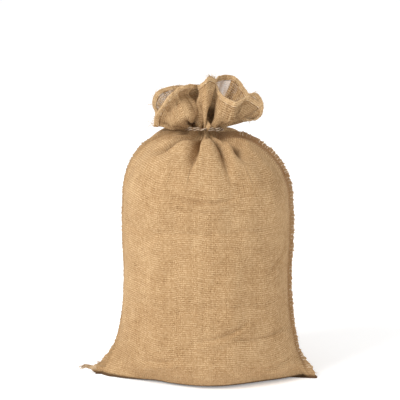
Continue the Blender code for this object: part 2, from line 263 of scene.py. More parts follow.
CORNER_FORWARD = {-1: 0.022, 1: 0.014}
CORNER_FROM, CORNER_EDGE, CORNER_TOP = 0.55, 0.40, 0.060
FRONT_TILT_FROM, REAR_TILT_FROM = 0.80, 0.94
FOOT_LIFT = 0.13
ROUNDED_FROM, ROUNDED_OVER = 0.80, 0.2  # where along the flat seam edge its round end begins
FOOT_DRAWN_IN = (
    # share of the half width, how far the front of the foot is drawn in there
    (-1.00, 0.0), (-0.93, 0.0018), (-0.85, 0.0060), (-0.75, 0.0065), (-0.60, 0.0090), (-0.45, 0.0158),
    (-0.30, 0.0118), (-0.12, 0.0085), (0.05, 0.0070), (0.16, 0.0075), (0.30, 0.0112), (0.46, 0.0160), (0.67, 0.0205),
    (0.77, 0.0240), (0.86, 0.0265), (0.93, 0.0220), (0.98, 0.0060), (1.00, 0.0),
)
foot_pull = np.array([gentle(share, *np.transpose(FOOT_DRAWN_IN)) for share in np.cos(np.radians(front_bearings))])


def round_points(level, bearing, side):
    """Points of one level at these bearings; side is -1 for the front half and 1 for the rear half."""
    turn = np.radians(bearing)
    across, deep = np.cos(turn), np.abs(np.sin(turn)) ** level["lens"]
    fullness = np.where(across < 0, LEFT_FULLNESS, RIGHT_FULLNESS) * across**2
    half_width = level["half_width"]
    if 0 < level["rise"] < 1:
        neck_width = NECK_HALF_WIDTH + NECK_SWELL
        half_width = neck_width + (half_width - neck_width) * dome(level["rise"], SIDE_POWER + fullness)
    half_width = half_width * np.ones_like(turn)
    radius = 0.5 * (float(np.mean(half_width)) + level["half_depth"])
    pressed = groove_depth(bearing, level, radius)
    tightness = float(smooth((level["gather"] - 0.45) / 0.45))
    pressed = pressed + neck_folds(bearing) * tightness * (SMALL_FOLD_DEPTH - EASED_AT_TIE * (level["gather"] >= 1))
    inward, drop = pressed * math.cos(level["lean"]), pressed * math.sin(level["lean"])
    gather, half_seam = level["gather"], 0.5 * SEAM_THICKNESS
    behind = np.abs(np.sin(turn)) ** np.where(across < 0, 0.5, 0.9) if side > 0 else 0.0
    puff = BACK_PUFF * 4 * gather * (1 - gather) * behind * (1.0 - 0.35 * across - 0.25 * across.clip(0))
    x = (half_width - inward) * across + NECK_SHIFT * gather
    y = side * (half_seam + (level["half_depth"] - inward - half_seam) * deep)
    low = float(1 - smooth(level["height"] / CORNER_TOP))
    left_corner, right_corner = (CORNER_FORWARD[way] * smooth((way * across - CORNER_FROM) / CORNER_EDGE)
                                 for way in (-1, 1))
    y = y - (left_corner + right_corner) * low
    drawn_in = foot_pull * low if side < 0 else 0.0
    tilt_from = FRONT_TILT_FROM if side < 0 else REAR_TILT_FROM
    tilted = NECK_TILT * float(smooth((level["rise"] - tilt_from) / (1 - tilt_from)))
    return np.column_stack([x, y + drawn_in, level["height"] + puff - drop + FOOT_LIFT * drawn_in - tilted * y])


def ragged(travel, seed):
    """The uneven reach of a cut edge that is pulled in by its stitches, about 1."""
    reach = 1
    for share, size, offset in ((0.26, 0.006, 0.3), (0.18, 0.022, 7.7)):
        reach += share * noise.noise(Vector((travel / size, seed, offset)))
    return reach


def seam_edge_points(level, side, most_turn, root_front, root_rear, travel):
    """Out along the front of a seam's flat edge and back along its rear."""
    turn = most_turn * level["seam_turned"]
    reach = level["seam_edge"] * ragged(travel, 3.1 * side)
    flat = reach * math.cos(level["slope"])
    tip = np.array([root_front[0] + side * flat * math.cos(turn),
                    0.5 * (root_front[1] + root_rear[1]) + flat * math.sin(turn),
                    level["height"] + reach * math.sin(level["slope"])])
    if side < 0:
        tip[0] -= TAIL_REACH * level["tail"]
    half = 0.5 * SEAM_THICKNESS
    away = np.array([half * math.sin(turn) * side, -half * math.cos(turn), 0.0])
    thin = np.sqrt(np.clip(1 - ((edge_steps - ROUNDED_FROM) / ROUNDED_OVER).clip(0) ** 2, 0.0, 1))[:, None]
    middle = 0.5 * (root_front + root_rear)
    line = middle + (tip - middle) * edge_steps[:, None]
    front, rear = line + away * thin, (line - away * thin)[::-1]
    return (front, rear) if side > 0 else (rear[::-1], front[::-1])


rings = []
travelled = 0.0
for k, level in enumerate(levels):
    front = round_points(level, front_bearings, -1)
    rear = round_points(level, rear_bearings, 1)
    if k:
        travelled += float(np.linalg.norm(front[-1] - rings[-1][FRONT - 1]))
    right = seam_edge_points(level, 1, RIGHT_SEAM_TURN, front[-1], rear[0], travelled)
    left = seam_edge_points(level, -1, LEFT_SEAM_TURN, front[0], rear[-1], travelled)
    ring = np.vstack([front, right[0], right[1], rear, left[0], left[1]])
    ring[:, 0] += BODY_SHIFT
    rings.append(ring)
body_net = np.array(rings)
print("net of the body", body_net.shape)

# %% [markdown]
# ## Soft relief of the filling
# Loose filling pushes the cloth out in broad soft swellings, and the cloth answers with a few long creases where it
# is dragged. Both are made by moving the net along its own normal, so they follow the form. The flat seam edges
# and the foot are left alone.

# %% Swellings and creases
CREASES = (
    # bearing and height at one end, bearing and height at the other, depth, half width
    (112, 0.424, 66, 0.418, 0.0026, 0.0045),
    (99, 0.106, 54, 0.157, 0.0022, 0.0050),
    (76, 0.117, 14, 0.130, 0.0022, 0.0050),
    (150, 0.30, 118, 0.345, 0.0014, 0.0060),
    (40, 0.25, 12, 0.315, 0.0016, 0.0060),
    (132, 0.055, 104, 0.070, 0.0020, 0.0050),
    (58, 0.040, 20, 0.062, 0.0022, 0.0050),
    (-30, 0.38, -75, 0.36, 0.0024, 0.0060),
    (-60, 0.12, -110, 0.16, 0.0026, 0.0060),
    (-120, 0.33, -158, 0.30, 0.0022, 0.0060),
    (-100, 0.05, -140, 0.075, 0.0022, 0.0050),
)


SWELLINGS = (
    # how far out, size, seed, how much longer up the sack than across it
    (0.0058, 0.105, 3.7, 1.4),
    (0.0030, 0.048, 9.1, 1.2),
)
DRAG_DEPTH, DRAG_SIZE, DRAG_FLATTENED = 0.0020, 0.030, 0.16
RIPPLE_DEPTH, RIPPLE_SIZE = 0.0010, 0.020


def normals_of(net):
    """The outward direction at every point of a net whose columns close on themselves."""
    around = np.roll(net, -1, axis=1) - np.roll(net, 1, axis=1)
    up = np.gradient(net, axis=0)
    normal = np.cross(around, up)
    return normal / np.maximum(np.linalg.norm(normal, axis=2), 1e-12)[:, :, None]


def field(net, size, seed, stretch=1.0):
    """Smooth noise over the net, with swellings of about this size, drawn out along the height by stretch."""
    scale = np.array([1 / size, 1 / size, 1 / (size * stretch)])
    return np.array([[noise.noise(Vector(point * scale + seed)) for point in row] for row in net])


column_bearing = np.concatenate([front_bearings, np.zeros(2 * EDGE), rear_bearings, np.full(2 * EDGE, 180.0)])
on_cloth = np.ones(columns)
on_cloth[right_edge] = on_cloth[left_edge] = 0
near_seam = np.abs(np.sin(np.radians(column_bearing)))
on_cloth *= smooth(near_seam / 0.16)

normals = normals_of(body_net)
heights = body_net[:, :, 2]
relief = sum(out * field(body_net, size, seed, stretch) for out, size, seed, stretch in SWELLINGS)
drag = field(np.dstack([body_net[:, :, 0], body_net[:, :, 1], heights * DRAG_FLATTENED]), DRAG_SIZE, 21.0)
relief += DRAG_DEPTH * drag * smooth((heights - 0.16) / 0.26)
relief += RIPPLE_DEPTH * field(body_net, RIPPLE_SIZE, 14.0)
BODY_RADIUS, CREASE_STRENGTH = 0.17, 2.2
place = np.stack([np.radians(column_bearing)[None, :] * BODY_RADIUS * np.ones_like(heights), heights], axis=2)
for bearing_a, height_a, bearing_b, height_b, depth, half_width in CREASES:
    start = np.array([math.radians(bearing_a) * BODY_RADIUS, height_a])
    end = np.array([math.radians(bearing_b) * BODY_RADIUS, height_b])
    line = end - start
    length = float(np.linalg.norm(line))
    along = ((place - start) @ line) / length**2
    bow = 0.06 * length * np.sin(np.pi * along.clip(0, 1))
    off = ((place - start) @ np.array([-line[1], line[0]])) / length - bow
    inside = between(along, -0.05, 1.05, 0.30)
    ridge, valley = bell(off - 2.1 * half_width, 1.9 * half_width), bell(off, half_width)
    relief += CREASE_STRENGTH * inside * depth * (0.75 * ridge - valley)
in_front = between(column_bearing, 12, 174, 26)
in_front[rear_part] = 0.0
BELLY_FOLDS = (
    # height, how far the cloth above it bulges, how high that bulge is
    (0.346, 0.0068, 0.046),
    (0.182, 0.0030, 0.030),
)
for fold_height, bulge, bulge_height in BELLY_FOLDS:
    sagged = fold_height + 0.006 * np.sin(np.radians(column_bearing) * 2.0 + 0.4)[None, :]
    above = heights - sagged
    overhang = smooth(above / bulge_height) * (1 - smooth((above - bulge_height) / (2 * bulge_height)))
    relief += in_front[None, :] * (bulge * overhang - 0.30 * bulge * bell(above, 0.0042))
fade_foot = smooth(heights / 0.03)
fade_neck = 1 - smooth((heights - 0.500) / 0.028)
body_net = body_net + normals * (relief * on_cloth[None, :] * fade_foot * fade_neck)[:, :, None]
print("relief", round(float(relief.min()) * 1000, 1), "to", round(float(relief.max()) * 1000, 1), "mm")

# %% [markdown]
# ## Where the threads run
# A woven material has to lie on the cloth as the loom left it: one thread direction up the sack, the other round it.
# So the net gets a map in metres of cloth. Up the sack it is the length travelled. Round the sack it is the length
# from the middle of each pleat; where a pleat ends in a groove, the hidden cloth is skipped there.

# %% Thread coordinates of the body


def column_of(bearing):
    """The place of a bearing in the list of columns, as a fraction, one half at a time."""
    if bearing >= 0:
        return np.interp(-bearing, -front_bearings, np.arange(FRONT))
    return FRONT + 2 * EDGE + np.interp(-bearing, -rear_bearings, np.arange(REAR))


def thread_map(net, rows_of_levels):
    round_way, up_way = way_along(net, axis=1), way_along(net)
    base = next(k for k, level in enumerate(rows_of_levels) if level["gather"] > 0) - 1
    index = np.arange(net.shape[1])
    across = np.zeros_like(round_way)
    for row, level in enumerate(rows_of_levels):
        side = 1 - level["gather"]
        for front_half in (True, False):
            cuts = [(a, b, r) for a, b, r in PLEAT_EDGES if (a > 0) == front_half]
            ends = ((180, 180, 1), (0, 0, 1)) if front_half else ((-1e-3, -1e-3, 1), (-180, -180, 1))
            edges = sorted(cuts + list(ends), key=lambda cut: -cut[0])
            for upper, lower in zip(edges, edges[1:]):
                here, there = [], []
                for at_neck, at_end, reach in (upper, lower):
                    here.append(column_of(at_neck + (at_end - at_neck) * min(side / reach, 1.0)))
                    there.append(column_of(at_end))
                inside = (index >= math.floor(here[0])) & (index <= math.ceil(here[1]))
                middle_here = np.interp(0.5 * (here[0] + here[1]), index, round_way[row])
                middle_base = np.interp(0.5 * (there[0] + there[1]), index, round_way[base])
                across[row, inside] = middle_base + round_way[row, inside] - middle_here
    for edge, root in ((right_edge, FRONT - 1), (left_edge, FRONT + 2 * EDGE + REAR - 1)):
        across[:, edge] = across[:, root][:, None] + round_way[:, edge] - round_way[:, root][:, None]
    middle = round_way[:, int(column_of(90))][:, None]
    below = np.array([level["gather"] <= 0 for level in rows_of_levels])
    across[below] = (round_way - middle + middle[base])[below]
    return across, up_way


body_across, body_up = thread_map(body_net, levels)
print("cloth round the body", round(float(body_across[60].max() - body_across[60].min()), 3), "m, up",
      round(float(body_up.max()), 3), "m")

# %% [markdown]
# ## From net to mesh
# One helper lays every net: it makes a flat grid with the right number of squares, moves each vertex to its place,
# writes the thread map, sews the last column to the first and closes open rims where it is asked to.

# %% The helpers that lay a net and put a piece in the scene


def put(name, data):
    """A new object with this data, linked into the scene."""
    thing = bpy.data.objects.new(name, data)
    bpy.context.collection.objects.link(thing)
    return thing


def lay_net(name, net, across, up, material, weights, close_holes=False):
    rows, count = net.shape[:2]
    shape = bmesh.new()
    bmesh.ops.create_grid(shape, x_segments=count, y_segments=rows - 1, size=1.0)
    threads = shape.loops.layers.uv.new("threads")
    layers = {key: shape.verts.layers.float.new(key) for key in weights}
    place = {}
    for vert in shape.verts:
        column = round((vert.co.x + 1) / 2 * count)
        row = round((vert.co.y + 1) / 2 * (rows - 1))
        place[vert] = (row, column)
    total = across[:, -1] + np.linalg.norm(net[:, 0] - net[:, -1], axis=1)
    for face in shape.faces:
        face.smooth = True
        for loop in face.loops:
            row, column = place[loop.vert]
            u = across[row, column] if column < count else total[row]
            loop[threads].uv = (u, up[row, column % count])
    for vert, (row, column) in place.items():
        vert.co = net[row, column % count]
        for key, layer in layers.items():
            vert[layer] = weights[key][row, column % count]
    ends = {row: vert for vert, (row, column) in place.items() if column == count}
    starts = {row: vert for vert, (row, column) in place.items() if column == 0}
    bmesh.ops.weld_verts(shape, targetmap={ends[row]: starts[row] for row in ends})
    if close_holes:
        rim = [edge for edge in shape.edges if edge.is_boundary]
        bmesh.ops.holes_fill(shape, edges=rim, sides=0)
    bmesh.ops.recalc_face_normals(shape, faces=shape.faces)
    mesh = bpy.data.meshes.new(name)
    shape.to_mesh(mesh)
    shape.free()
    mesh.materials.append(material)
    print(name, len(mesh.polygons), "faces")
    return put(name, mesh)


# %% [markdown]
# ## Woven hessian
# Hessian is a plain weave: each thread goes over one and under one. The material works out, from the thread map,
# how high the upright and the crosswise thread stand at a point, which is on top, and where neither is, the hole.
# Jute is spun unevenly, so every thread has its own shade and thickness, and swells in slubs along its length.

# %% A small helper for node trees


class Recipe:
    """Adds nodes to a material and joins them; values may be numbers or sockets."""

    def __init__(self, name):
        self.material = bpy.data.materials.new(name)
        self.material.use_nodes = True
        self.tree = self.material.node_tree
        self.shader = self.tree.nodes["Principled BSDF"]

    def node(self, kind, **settings):
        made = self.tree.nodes.new(kind)
        for key, value in settings.items():
            setattr(made, key, value)
        return made

    def feed(self, socket, value):
        if isinstance(value, bpy.types.NodeSocket):
            self.tree.links.new(value, socket)
        else:
            socket.default_value = value

    def math(self, operation, *values):
        made = self.node("ShaderNodeMath", operation=operation)
        for socket, value in zip(made.inputs, values):
            self.feed(socket, value)
        return made.outputs[0]

    def add(self, a, b):
        return self.math("ADD", a, b)

    def minus(self, a, b):
        return self.math("SUBTRACT", a, b)

    def times(self, a, b):
        return self.math("MULTIPLY", a, b)

    def ramp(self, value, low, high, to_low, to_high):
        made = self.node("ShaderNodeMapRange", interpolation_type="SMOOTHSTEP")
        for socket, number in zip(made.inputs, (value, low, high, to_low, to_high)):
            self.feed(socket, number)
        return made.outputs[0]

    def mix(self, factor, a, b):
        made = self.node("ShaderNodeMix", data_type="RGBA")
        self.feed(made.inputs[0], factor)
        for socket, colour in ((made.inputs[6], a), (made.inputs[7], b)):
            self.feed(socket, colour if isinstance(colour, bpy.types.NodeSocket) else (*colour, 1))
        return made.outputs[2]

    def point(self, x, y, z=0.0):
        made = self.node("ShaderNodeCombineXYZ")
        for socket, value in zip(made.inputs, (x, y, z)):
            self.feed(socket, value)
        return made.outputs[0]

    def noise(self, vector, scale, detail=2.0, rough=0.5):
        made = self.node("ShaderNodeTexNoise")
        self.feed(made.inputs["Vector"], vector)
        made.inputs["Scale"].default_value = scale
        made.inputs["Detail"].default_value = detail
        made.inputs["Roughness"].default_value = rough
        return made.outputs[0]

    def chance(self, vector):
        made = self.node("ShaderNodeTexWhiteNoise", noise_dimensions="3D")
        self.feed(made.inputs["Vector"], vector)
        return made.outputs[0]

    def weight(self, name):
        """A value that the piece carries at each of its vertices."""
        return self.node("ShaderNodeAttribute", attribute_name=name).outputs["Fac"]

    def surface(self, **constants):
        """Constants on the shader's own sockets, with _ for the spaces in their names."""
        for name, value in constants.items():
            self.shader.inputs[name.replace("_", " ")].default_value = value

    def bump(self, height, strength, distance):
        made = self.node("ShaderNodeBump")
        made.inputs["Strength"].default_value = strength
        made.inputs["Distance"].default_value = distance
        self.feed(made.inputs["Height"], height)
        self.feed(self.shader.inputs["Normal"], made.outputs[0])


# %% The hessian material
THREAD_PITCH = 0.0023
PAIR_CONTRAST = 0.22
WANDER, WANDER_SCALE = 0.0016, 70
SLACK_WHEN_OPEN = 0.48
THREAD_WIDTH, OWN_WIDTH, SLUB_WIDTH = 0.60, 0.08, 0.46
OWN_SHADE, SLUB_SHADE, STREAK_SHADE, FIBRE_SHADE, KNOT_SHADE = 0.12, 0.26, 0.26, 0.35, 0.34
MOTTLE_SHADE, STAIN_SHADE, HEM_PALER_AND_PAINTED_LIGHT, HEM_EDGE_SHADE_DARKER, SEAM_PAINTED_SHADE = 0.35, 0.30, 0.22, 0.42, 0.38
# the foot's painted shade: the heights where it starts and ends, and how much the mottle moves its edge
FOOT_SHADE_FROM, FOOT_SHADE_TO, FOOT_SHADE_UNEVEN = 0.0015, 0.0070, 0.006
JUTE_DARK, JUTE_MID, JUTE_LIGHT = (0.190, 0.098, 0.035), (0.388, 0.236, 0.112), (0.580, 0.402, 0.222)
JUTE_SHADOW = (0.070, 0.036, 0.015)
JUTE_SHEER_PAINTED_LIGHT, JUTE_SEAM_PAINTED_SHADE = (0.95, 0.74, 0.56), (0.210, 0.090, 0.040)


def hessian(name, open_weave):
    """The weave, solid over the filling or open where one layer of cloth stands free."""
    r = Recipe(name)
    uv = r.node("ShaderNodeUVMap", uv_map="threads").outputs[0]
    split = r.node("ShaderNodeSeparateXYZ")
    r.feed(split.inputs[0], uv)
    place = r.node("ShaderNodeTexCoord").outputs["Object"]

    def threads_up_to(way, other, seed):
        """How many threads there are up to here, each wandering a little from its line."""
        wander = r.times(r.minus(r.noise(r.point(way, other, seed), WANDER_SCALE), 0.5), WANDER)
        return r.math("DIVIDE", r.add(way, wander), THREAD_PITCH)

    u = threads_up_to(split.outputs[0], split.outputs[1], 0.0)
    v = threads_up_to(split.outputs[1], split.outputs[0], 4.0)
    column, row = r.math("FLOOR", u), r.math("FLOOR", v)
    if open_weave:
        opened = r.weight("openness")
        slack = r.times(opened, SLACK_WHEN_OPEN)
    else:
        slack = 0.0
    threads = []
    for index, beside, along, seed, shift in ((column, u, v, 1.0, 0.0), (row, v, u, 2.0, 1.0)):
        own = r.chance(r.point(index, seed, 0.5))
        slub = r.noise(r.point(r.times(index, 7.31), r.times(along, 0.33), seed), 1.0, 1.0)
        width = r.minus(r.add(r.times(own, OWN_WIDTH), r.times(slub, SLUB_WIDTH)), slack)
        width = r.add(width, THREAD_WIDTH)
        position = r.math("FRACT", beside)
        away = r.math("ABSOLUTE", r.minus(r.times(position, 2.0), 1.0))
        ratio = r.math("DIVIDE", away, width)
        rounded = r.math("SQRT", r.math("MAXIMUM", r.minus(1.0, r.times(ratio, ratio)), 0.0))
        phase = r.add(r.add(along, index), shift)
        wave = r.math("SINE", r.times(phase, math.pi))
        height = r.times(rounded, r.add(r.times(wave, 0.38), 0.62))
        streak = r.noise(r.point(r.times(index, 0.8), r.times(along, 0.09), seed + 6.0), 1.0, 2.0)
        paired = r.times(r.math("FRACT", r.times(index, 0.5)), 2.0)
        shade = r.add(r.times(own, OWN_SHADE), r.add(r.times(slub, SLUB_SHADE), r.times(streak, STREAK_SHADE)))
        shade = r.add(shade, r.times(paired, PAIR_CONTRAST))
        skewed = r.times(r.add(beside, r.times(along, 0.5)), 3.0)
        fibre = r.noise(r.point(skewed, r.times(along, 0.6), seed + 3.0), 1.6, 3.0)
        shade = r.add(shade, r.times(fibre, FIBRE_SHADE))
        threads.append((height, rounded, shade))
    upright, crosswise = threads
    on_top = r.math("GREATER_THAN", upright[0], crosswise[0])
    height = r.math("MAXIMUM", upright[0], crosswise[0])
    cover = r.math("MAXIMUM", upright[1], crosswise[1])
    both = r.node("ShaderNodeMix", data_type="FLOAT")
    for socket, value in zip((both.inputs[0], both.inputs[2], both.inputs[3]), (on_top, crosswise[2], upright[2])):
        r.feed(socket, value)
    shade = both.outputs[0]
    knot = r.chance(r.point(column, row, 3.5))
    shade = r.add(shade, r.times(knot, KNOT_SHADE))
    mottle = r.noise(place, 26.0, 4.0, 0.6)
    stain = r.noise(place, 6.5, 3.0, 0.5)
    contrast, middle_tone = (1.3, 0.48) if open_weave else (1.0, 0.5)
    tone = r.add(r.times(r.minus(shade, 0.70), contrast), middle_tone)
    for patches, strength in ((mottle, MOTTLE_SHADE), (stain, STAIN_SHADE)):
        tone = r.add(tone, r.times(r.minus(patches, 0.5), strength))
    if open_weave:
        # the hem is painted paler: partly its double cloth, partly painted light on its raised fold
        tone = r.add(tone, r.times(r.weight("hem"), HEM_PALER_AND_PAINTED_LIGHT))
        # painted shade in a thin line along the hem's inner edge, where the folded cloth stands proud
        tone = r.minus(tone, r.times(r.weight("hem_edge_shade"), HEM_EDGE_SHADE_DARKER))
    colour = r.mix(r.ramp(tone, 0.05, 0.50, 0.0, 1.0), JUTE_DARK, JUTE_MID)
    colour = r.mix(r.ramp(tone, 0.45, 1.00, 0.0, 1.0), colour, JUTE_LIGHT)
    # painted shade: where a thread dips low, at its sides and round the holes, its colour is painted dark
    colour = r.mix(r.ramp(height, 0.0, 0.55, 0.70, 0.0), colour, JUTE_SHADOW)
    if open_weave:
        # painted light: where the single layer is most open its threads are painted pale, for light shining through
        # the cloth from behind
        colour = r.mix(r.ramp(opened, 0.60, 1.0, 0.0, 0.70), colour, JUTE_SHEER_PAINTED_LIGHT)
        # painted shade in the deep hollows just above the tie
        colour = r.mix(r.ramp(r.weight("recess_shade"), 0.15, 0.75, 0.0, 0.92), colour, JUTE_SHADOW)
    else:
        # painted shade along the foot: the lowest few millimetres of the body are painted dark towards the floor, for
        # the shade where the cloth curves under
        lift = r.node("ShaderNodeSeparateXYZ")
        r.feed(lift.inputs[0], place)
        foot_shade = r.minus(lift.outputs[2], r.times(mottle, FOOT_SHADE_UNEVEN))
        colour = r.mix(r.ramp(foot_shade, FOOT_SHADE_FROM, FOOT_SHADE_TO, 0.92, 0.0), colour, JUTE_SHADOW)
        # painted shade on the right seam's flat edge, which leans back from the lamp over the shoulder
        colour = r.mix(r.times(r.weight("seam_painted_shade"), SEAM_PAINTED_SHADE), colour, JUTE_SEAM_PAINTED_SHADE)
    r.feed(r.shader.inputs["Base Color"], colour)
    r.surface(Roughness=0.93, Specular_IOR_Level=0.10, Sheen_Weight=0.08, Sheen_Roughness=0.6,
              Sheen_Tint=(0.80, 0.60, 0.40, 1))
    r.bump(height, 0.85, 0.0008)
    if open_weave:
        solid = r.math("GREATER_THAN", cover, 0.04)
        hemmed = r.math("LESS_THAN", opened, 0.02)
        r.feed(r.shader.inputs["Alpha"], r.math("MAXIMUM", solid, hemmed))
    return r.material


hessian_filled = hessian("hessian_over_filling", False)
hessian_open = hessian("hessian_single_layer", True)
print("hessian threads every", THREAD_PITCH * 1000, "mm")

# %% [markdown]
# ## The body itself
# The rings are stacked, closed under the foot and over the neck, and the piece stands for the solid sack of the
# model. It is a padded piece: tight with its filling.

# %% Lay the body


def shrunk(ring, share, lift):
    middle = ring.mean(axis=0)
    inner = middle + (ring - middle) * share
    inner[:, 2] = ring[:, 2] + lift
    return inner


foot = body_net[0]
under = [shrunk(foot, share, lift) for share, lift in ((0.08, 0.0010), (0.5, 0.0010), (0.85, 0.0008), (0.96, 0.0003))]
top = body_net[-1]
over = [shrunk(top, share, lift) for share, lift in ((0.97, 0.0006), (0.90, 0.0010), (0.5, 0.0010), (0.1, 0.0010))]
whole_net = np.array(under + list(body_net) + over)


def with_ends(values):
    return np.vstack([np.repeat(values[:1], len(under), axis=0), values, np.repeat(values[-1:], len(over), axis=0)])


# painted shade along the right seam: its flat edge and the cloth just in front of it, full over the shoulder and 0.45
# as strong below
over_shoulder = smooth((body_net[:, :, 2] - 0.39) / 0.07)
by_seam = np.zeros(columns)
by_seam[right_edge] = 1.0
by_seam[:FRONT] = 1 - smooth((front_bearings - 3) / 7)
seam_painted_shade = (0.45 + 0.55 * over_shoulder) * by_seam[None, :]
body = lay_net("filled_body", whole_net, with_ends(body_across), with_ends(body_up), hessian_filled,
               {"seam_painted_shade": with_ends(seam_painted_shade)}, close_holes=True)
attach(body, "root")
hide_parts("sack")

# %% [markdown]
# ## The open mouth
# Above the tie the sack is empty, and its last hand's breadth of cloth springs open into a ruffle. It is one layer,
# so it is a thin sheet: each upright line of the net starts at the neck, bends once and ends at the hemmed rim. The
# rim's corners are given as places measured from the middle of the tie, with how far the cloth bellies out below.

# %% The rim of the mouth
FRONT_RIM = (
    # x, y, z, belly, lift
    (-0.108, 0.000, 0.003, 0.004, 0.000),
    (-0.0986, -0.024, 0.0351, 0.010, 0.000),
    (-0.0863, -0.036, 0.0529, 0.016, -0.004),
    (-0.0732, -0.046, 0.0725, 0.020, -0.006),
    (-0.0585, -0.052, 0.0890, 0.022, -0.008),
    (-0.0444, -0.050, 0.0988, 0.018, -0.006),
    (-0.0290, -0.038, 0.1008, 0.006, -0.004),
    (-0.0190, -0.022, 0.0975, -0.006, 0.000),
    (-0.0112, -0.010, 0.0950, -0.012, 0.000),
    (-0.0072, -0.034, 0.0990, -0.002, 0.000),
    (0.0038, -0.050, 0.1110, 0.004, 0.000),
    (0.0168, -0.048, 0.1200, 0.004, 0.000),
    (0.0237, -0.030, 0.1110, 0.002, 0.000),
    (0.0263, -0.031, 0.0995, 0.002, 0.000),
    (0.0300, -0.034, 0.0895, 0.004, -0.002),
    (0.0426, -0.040, 0.0780, 0.012, -0.008),
    (0.0646, -0.049, 0.0693, 0.014, -0.008),
    (0.0760, -0.047, 0.0709, 0.012, -0.006),
    (0.0916, -0.038, 0.0800, 0.006, -0.004),
    (0.1028, -0.033, 0.0742, 0.004, -0.004),
    (0.1124, -0.029, 0.0660, 0.004, 0.000),
    (0.1222, -0.022, 0.0570, 0.004, 0.000),
    (0.1107, -0.018, 0.0448, 0.002, 0.000),
    (0.0980, -0.012, 0.0345, 0.002, 0.006),
    (0.0863, -0.002, 0.0250, 0.002, 0.014),
)
BACK_RIM = (
    # x, y, z, belly, lift
    (0.0945, 0.008, 0.0200, 0.002, 0.014),
    (0.1085, 0.014, 0.0195, 0.002, 0.008),
    (0.1190, 0.016, 0.0262, 0.002, 0.000),
    (0.1232, 0.018, 0.0440, 0.002, 0.000),
    (0.1195, 0.020, 0.0605, 0.004, 0.000),
    (0.1103, 0.020, 0.0724, 0.004, 0.000),
    (0.0993, 0.018, 0.0740, 0.000, 0.000),
    (0.0915, 0.022, 0.0723, 0.000, 0.000),
    (0.0855, 0.030, 0.0780, 0.004, 0.000),
    (0.0743, 0.042, 0.0913, 0.008, 0.000),
    (0.0625, 0.050, 0.1024, 0.010, 0.000),
    (0.0473, 0.052, 0.1062, 0.010, 0.000),
    (0.0328, 0.046, 0.1061, 0.004, 0.000),
    (0.0244, 0.030, 0.1020, -0.006, 0.000),
    (0.0100, 0.042, 0.0860, 0.004, 0.000),
    (-0.0040, 0.046, 0.0840, 0.008, 0.000),
    (-0.0180, 0.024, 0.0780, -0.008, 0.000),
    (-0.0440, 0.044, 0.0835, 0.010, 0.000),
    (-0.0720, 0.036, 0.0835, 0.006, 0.000),
    (-0.0880, 0.034, 0.0795, 0.004, 0.000),
    (-0.1022, 0.032, 0.0728, 0.004, 0.000),
    (-0.1106, 0.030, 0.0611, 0.004, 0.000),
    (-0.1126, 0.028, 0.0461, 0.004, 0.000),
    (-0.1073, 0.024, 0.0274, 0.004, 0.000),
    (-0.1086, 0.018, 0.0123, 0.004, 0.000),
)
MOUTH_LENGTH, HEM_WIDTH = 0.105, 0.0105


def curve_spot(a, b, c, d, t):
    """A place between b and c on the smooth curve through a, b, c and d."""
    return 0.5 * (2 * b + (c - a) * t + (2 * a - 5 * b + 4 * c - d) * t**2 + (3 * b - a - 3 * c + d) * t**3)


def closed_curve(points, per_step):
    """A smooth closed curve through the points, each stretch cut in per_step."""
    points = np.asarray(points, float)
    dense = []
    for i in range(len(points)):
        a, b, c, d = (points[(i + k) % len(points)] for k in (-1, 0, 1, 2))
        dense += [curve_spot(a, b, c, d, step / per_step) for step in range(per_step)]
    return np.array(dense)


def spread_along(curve, count):
    travelled = way_along(curve[:, :3])
    wanted = np.linspace(0, travelled[-1], count + 1)
    return np.column_stack([np.interp(wanted, travelled, column) for column in curve.T])


PER_STEP, TRIM = 48, 12
FRONT_LINES, REAR_LINES = 264, 176
whole = closed_curve(FRONT_RIM + BACK_RIM, PER_STEP)
seam_at = (len(FRONT_RIM) - 1) * PER_STEP
whole = np.vstack([whole, whole[:1]])
rim_front = spread_along(whole[TRIM: seam_at - TRIM + 1], FRONT_LINES)
rim_rear = spread_along(whole[seam_at + TRIM: len(whole) - TRIM], REAR_LINES)
rim_right = spread_along(whole[seam_at - TRIM: seam_at + TRIM + 1], 5)[1:5]
rim_left = spread_along(np.vstack([whole[-TRIM - 1: -1], whole[: TRIM + 1]]), 5)[1:5]
rim = np.vstack([rim_front, rim_right, rim_rear, rim_left])
mouth_bearing = np.concatenate([np.linspace(180, 0, FRONT_LINES + 1), np.zeros(4),
                                np.linspace(0, -180, REAR_LINES + 1), np.full(4, -180.0)])
print("rim", len(rim), "lines,", round(float(way_along(whole[:, :3])[-1]), 3), "m round")

# %% [markdown]
# ## Bend each line of the mouth and crease it
# A line is a curve with one bend (a quadratic Bezier). The small folds from the neck fade as the cloth opens, the
# rim gets its own waves, and the hem stands a little proud because there the cloth is folded over and sewn.

# %% Net of the mouth
INSIDE_TWINE, BELOW_TIE, REAR_TILT_ENDS = 0.0009, 0.0015, 0.12
turn = np.radians(mouth_bearing)
neck_x = (NECK_HALF_WIDTH - INSIDE_TWINE) * np.cos(turn)
neck_y = -(NECK_HALF_DEPTH - INSIDE_TWINE) * np.sin(turn)
pinch = 1 - (neck_folds(mouth_bearing) * MOUTH_FOLD_DEPTH)[:, None] / np.hypot(neck_x, neck_y)[:, None]
neck_ring = np.column_stack([neck_x, neck_y]) * pinch
rear_y = neck_ring[:, 1].clip(0)
neck_ring = np.column_stack([neck_ring, -BELOW_TIE - NECK_TILT * (neck_ring[:, 1] - rear_y)])
rim_points = rim[:, :3]
outward = rim_points.copy()
outward[:, 2] = 0
outward /= np.linalg.norm(outward, axis=1)[:, None]
bend = 0.5 * (neck_ring + rim_points) + outward * rim[:, 3:4]
bend[:, 2] += rim[:, 4]
mouth_rows = np.concatenate([np.linspace(0, 0.90, 64)[:-1], np.linspace(0.90, 1.0, 12)])
